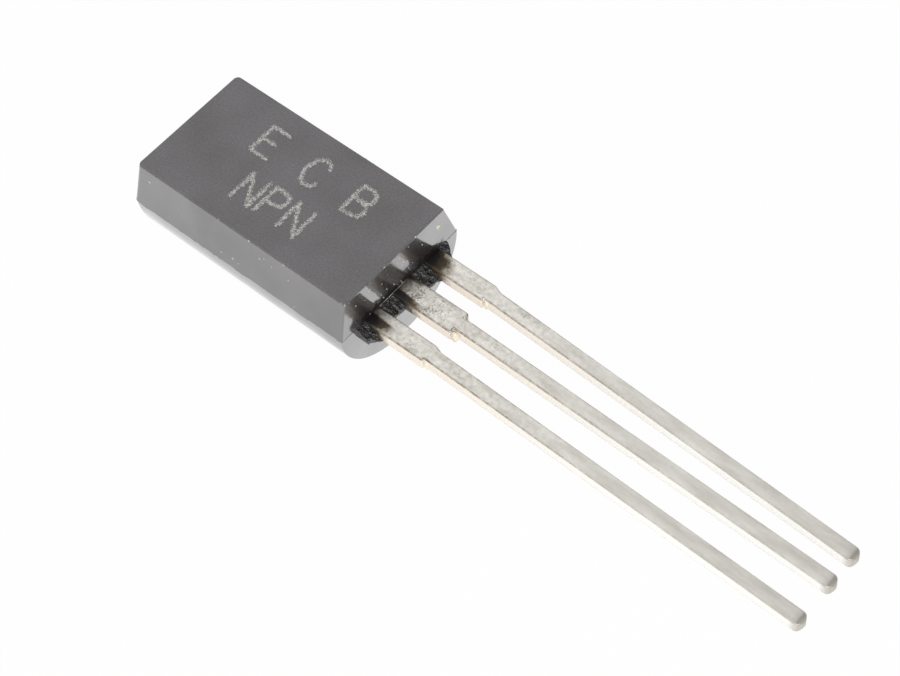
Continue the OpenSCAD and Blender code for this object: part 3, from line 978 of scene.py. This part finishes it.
# %% Tree: grains on a surface
grains_tree, given = new_group("grains on a surface", [
    ("Density", "NodeSocketFloat"), ("Grain radius", "NodeSocketFloat"), ("Seed", "NodeSocketInt"),
    ("Material", "NodeSocketMaterial"),
])
tree = grains_tree
spots = add(tree, "GeometryNodeDistributePointsOnFaces", {
    "Mesh": given["Geometry"], "Density": given["Density"], "Seed": given["Seed"],
})
grit = add(tree, "GeometryNodeMeshIcoSphere", {"Radius": given["Grain radius"], "Subdivisions": 1})
size = add(tree, "FunctionNodeRandomValue", {0: (0.4, 0.4, 0.2), 1: (1.2, 1.0, 0.4), "Seed": given["Seed"]},
           data_type="FLOAT_VECTOR")
placed = add(tree, "GeometryNodeInstanceOnPoints", {
    "Points": spots, "Instance": grit, "Rotation": spots.outputs["Rotation"], "Scale": size,
})
solid = add(tree, "GeometryNodeRealizeInstances", {"Geometry": placed})
painted = add(tree, "GeometryNodeSetMaterial", {"Geometry": solid, "Material": given["Material"]})
add(tree, "NodeGroupOutput", {"Geometry": painted})
print("grains tree:", len(tree.nodes), "nodes")


# %% Filler grains on the front half
def part_of_skin(keep):
    patch = body.data.copy()
    bm = bmesh.new()
    bm.from_mesh(patch)
    others = [f for f in bm.faces if not keep(f.calc_center_median() / MM, f.normal)]
    bmesh.ops.delete(bm, geom=others, context="FACES")
    bm.to_mesh(patch)
    bm.free()
    return patch


def on_side(at, normal):
    return at.z > part_z + BLEND and normal.z < 0.8 and abs(normal.y) > 0.5


def on_flat(at, normal):
    return at.z > part_z + BLEND and normal.z > 0.9


# Bare silica gives the eye small neutral specks, paler than the resin and half dull.
silica = grainy_finish("ground silica at the surface", "#908d8b", "#d8d5d2", 0.03, 0.0, 0.3, 0.6)
for name, keep, per_mm2, radius, seed in (
    ("side_grains", on_side, 1.1, 0.045, 5),
    ("flat_grains", on_flat, 0.4, 0.014, 6),
):
    grow(name, part_of_skin(keep), grains_tree, {
        "Density": per_mm2 / MM ** 2, "Grain radius": radius * MM, "Seed": seed, "Material": silica,
    })

# %% [markdown]
# ## Crumbs, partly painted glints, and a flake
# Crumbs of dry resin cling to the greasy lead end, and their chalky white is partly a painted
# highlight for glints on the smear. One flake of bright plating sticks above the far lead. The grains
# tree scatters the crumbs over a patch that lies on the end. The grains tree scatters the crumbs over a patch
# that lies on the end. The flake is a
# single thing with its own place, so it is a lump pushed out of shape by a noise.

# %% Crumbs with painted glints on the lead end
CRUMBS_PER_MM2 = 7.0
PATCH_CORNERS = ((-2.0, 0.05), (1.9, 0.05), (1.0, 1.28), (-2.0, 1.28))


def on_end(y, height):
    x = lead_end_x - height * math.tan(END_DRAFT)
    return Vector((x, y, part_z + height)) * MM


# Dry crumbs give the eye bright chalky points against the black smear. Their white is partly a painted
# highlight, standing in for glints.
crumb_and_glint_white = grainy_finish("resin crumbs with painted glint white", "#bdbbb6", "#f4f2ee", 0.03, 0.0, 0.3, 0.6)
crumb_patch = bpy.data.meshes.new("crumb patch")
crumb_patch.from_pydata([on_end(y, height) for y, height in PATCH_CORNERS], [], [(0, 1, 2, 3)])
grow("end_crumbs_painted_glints", crumb_patch, grains_tree, {
    "Density": CRUMBS_PER_MM2 / MM ** 2, "Grain radius": 0.026 * MM, "Seed": 9, "Material": crumb_and_glint_white,
})


# %% One bright flake of plating
def lump(name, centre, size, material, rough, detail):
    bm = bmesh.new()
    bmesh.ops.create_icosphere(bm, subdivisions=detail, radius=1)
    for v in bm.verts:
        v.co *= 1 + rough * noise.noise(v.co * 1.7)
        v.co = centre + Vector(v.co[i] * size[i] for i in range(3)) * MM
    mesh = bpy.data.meshes.new(name)
    bm.to_mesh(mesh)
    bm.free()
    if detail > 1:
        mesh.shade_smooth()
    piece = new_piece(name, mesh, material)
    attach(piece, "root")
    print(name, len(mesh.polygons), "faces")


# A torn bit of plating gives the eye one warm glint.
gilt = grainy_finish("flake of bright plating", "#c9b078", "#fffcf0", 0.04, 0.4, 0.2, 0.4)
lump("plating_flake", on_end(1.74, 0.84), (0.03, 0.085, 0.085), gilt, 0.6, 1)

# %% [markdown]
# ## Bead and seams on the parting line
# Where the halves of the mould met, a hair of resin was squeezed out. It runs along both sides as a
# bead that swells and thins, and across the lead end as a seam, pale near the middle and dark beyond
# the outer leads. The pale colour of the middle seam is a painted glint along its ridge. A plain
# tube would look drawn on, so a tree sweeps a circle along the line and scales it by a noise.

# %% Tree: thin bead along a line
bead_tree, given = new_group("bead along a line", [
    ("Step", "NodeSocketFloat"), ("Bead radius", "NodeSocketFloat"), ("Lump size", "NodeSocketFloat"),
    ("Thinnest", "NodeSocketFloat"), ("Material", "NodeSocketMaterial"),
])
tree = bead_tree
line = add(tree, "GeometryNodeMeshToCurve", {"Mesh": given["Geometry"]})
steps = add(tree, "GeometryNodeResampleCurve", {"Curve": line, "Length": given["Step"]}, mode="LENGTH")
pitch = add(tree, "ShaderNodeMath", {0: 1.0, 1: given["Lump size"]}, operation="DIVIDE")
lumps = add(tree, "ShaderNodeTexNoise", {"Scale": pitch, "Detail": 2})
swell = add(tree, "ShaderNodeMapRange", {0: lumps, 1: 0.4, 2: 0.65, 3: given["Thinnest"], 4: 1.0})
thick = add(tree, "ShaderNodeMath", {0: swell, 1: given["Bead radius"]}, operation="MULTIPLY")
ring = add(tree, "GeometryNodeCurvePrimitiveCircle", {"Resolution": 8, "Radius": 1.0})
tube = add(tree, "GeometryNodeCurveToMesh", {
    "Curve": steps, "Profile Curve": ring, "Scale": thick, "Fill Caps": True,
})
solid = add(tree, "GeometryNodeRealizeInstances", {"Geometry": tube})
painted = add(tree, "GeometryNodeSetMaterial", {"Geometry": solid, "Material": given["Material"]})
add(tree, "NodeGroupOutput", {"Geometry": painted})
print("bead tree:", len(tree.nodes), "nodes")

# %% Beads on the parting line
BEAD_R = 0.02

side_y = back_r - BEAD_R
bead_z = part_z - 0.4 * BEAD_R
side_lines = [[(top_x + 0.3, y, bead_z), (lead_end_x - 0.1, y, bead_z)] for y in (-side_y, side_y)]
# The middle seam's pale colour is a painted glint along the resin ridge.
glint_lines = [[(lead_end_x, -0.9, part_z), (lead_end_x, 0.25, part_z)]]
dark_lines = [
    [(lead_end_x, side * 1.7, part_z), (lead_end_x, side * (back_r - 0.05), part_z)] for side in (-1, 1)
]
for name, lines, step, radius, lump_size, thinnest, material in (
    ("parting_bead", side_lines, 0.05, BEAD_R, 0.22, 0.1, epoxy),
    ("glint_seam", glint_lines, 0.04, 0.011, 0.3, 0.3, burnt),
    ("dark_seam", dark_lines, 0.04, 0.009, 0.4, 0.3, resin),
):
    grow(name, path_mesh(name, lines), bead_tree, {
        "Step": step * MM, "Bead radius": radius * MM, "Lump size": lump_size * MM, "Thinnest": thinnest,
        "Material": material,
    })

# %% [markdown]
# ## Nicks
# Three larger nicks sit on the edge between the flat face and the lead end, where the part was
# knocked, and they are as pale as burnt resin. Each has its own place, so a tree would not help.
# They are the same kind of lump as the flake, flatter and smoother.

# %% Nicks on the edge of the flat face
NICK_SIZE = (0.045, 0.04, 0.028)

nick_x = lead_end_x - front_depth * math.tan(END_DRAFT) - 0.03
for name, y in (("near_nick", -2.04), ("middle_nick", -0.43), ("far_nick", 0.87)):
    lump(name, Vector((nick_x, y, face_z - 0.032)) * MM, NICK_SIZE, burnt, 0.5, 2)

# %% [markdown]
# ## Burrs
# The dam bar between the leads was sheared off after moulding and left a small burr on each
# shoulder, largest on the middle lead. Cutting the lead's mesh into ragged shapes would be much
# work for a few pixels, so a smooth lump sits on the -Y side of each shoulder.

# %% Burrs on the cut shoulders
SHOULDER_REACH = 2.1
BURRS = (
    ("emitter_burr", -LEAD_PITCH - OUTER_ROOT_W / 2 + 0.07, 0.05),
    ("collector_burr", -CENTRE_ROOT_W / 2 + 0.08, 0.12),
    ("base_burr", LEAD_PITCH - OUTER_ROOT_W / 2 + 0.07, 0.06),
)

# Torn tin gives the eye a soft cream white, duller than the plate.
torn_tin = grainy_finish("torn tin plate", "#e2d7c2", "#faf3e8", 0.05, 0.0, 0.5, 0.8)
for name, y, size in BURRS:
    centre = Vector((lead_end_x + SHOULDER_REACH + 0.1, y + FRAME_SHIFT, part_z - lead_t / 2)) * MM
    lump(name, centre, (size, size * 0.9, lead_t / 2), torn_tin, 0.25, 3)
